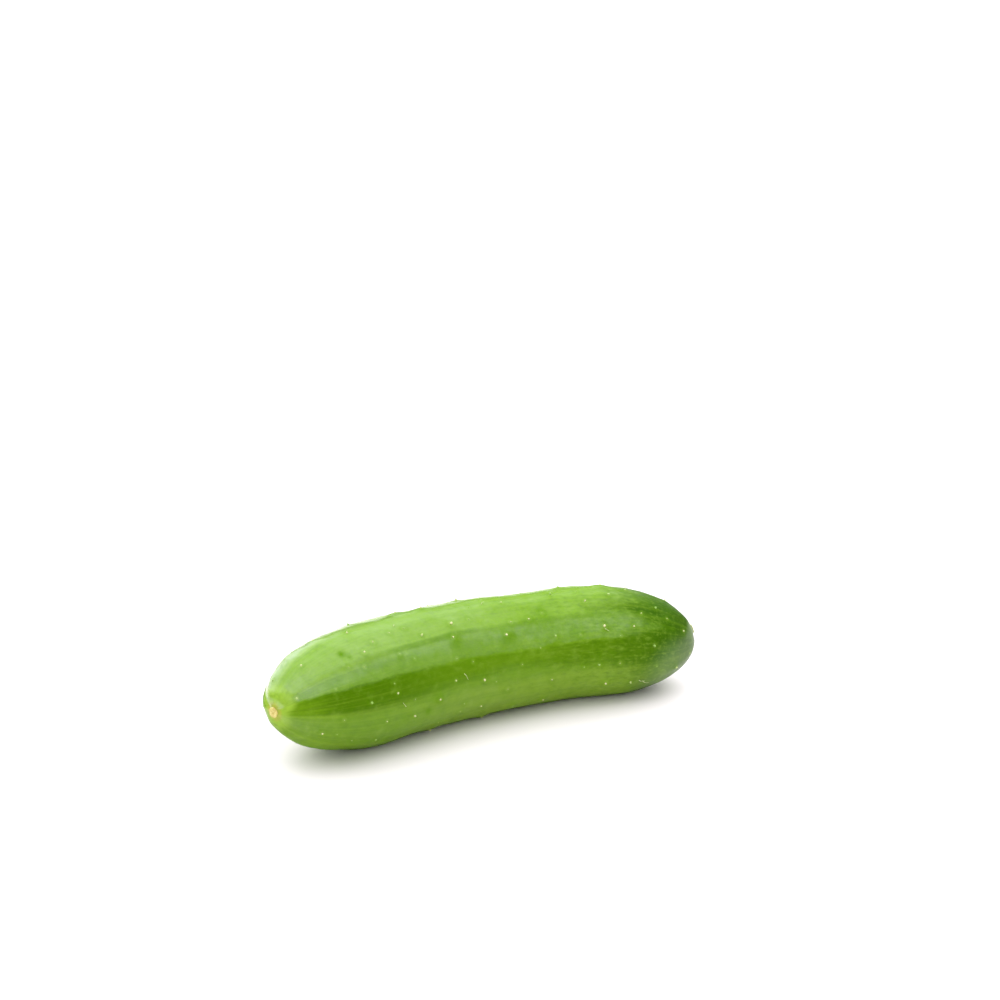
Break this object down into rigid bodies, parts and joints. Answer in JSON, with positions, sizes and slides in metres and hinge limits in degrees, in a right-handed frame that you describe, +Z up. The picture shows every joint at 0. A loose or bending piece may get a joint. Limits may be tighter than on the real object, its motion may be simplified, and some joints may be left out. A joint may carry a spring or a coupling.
{
  "type": "mini cucumber",
  "caption": "Whole mini cucumber, short and gently arched, with shallow ribs, low warts and tiny spines, a corky blossom scar and a stub of stalk, lying on its side.",
  "frame": {"origin": "on the surface that the fruit lies on, under the middle of its box", "axes": "+X from the blossom end to the stem end, +Y the way the fruit arches, +Z up"},
  "size_m": [0.1188, 0.0352, 0.0302],
  "materials": {
    "skin": "smooth waxy skin, satin, with soft highlights"
  },
  "bodies": {
    "root": {"mini_cucumber": "skin"}
  },
  "joints": []
}
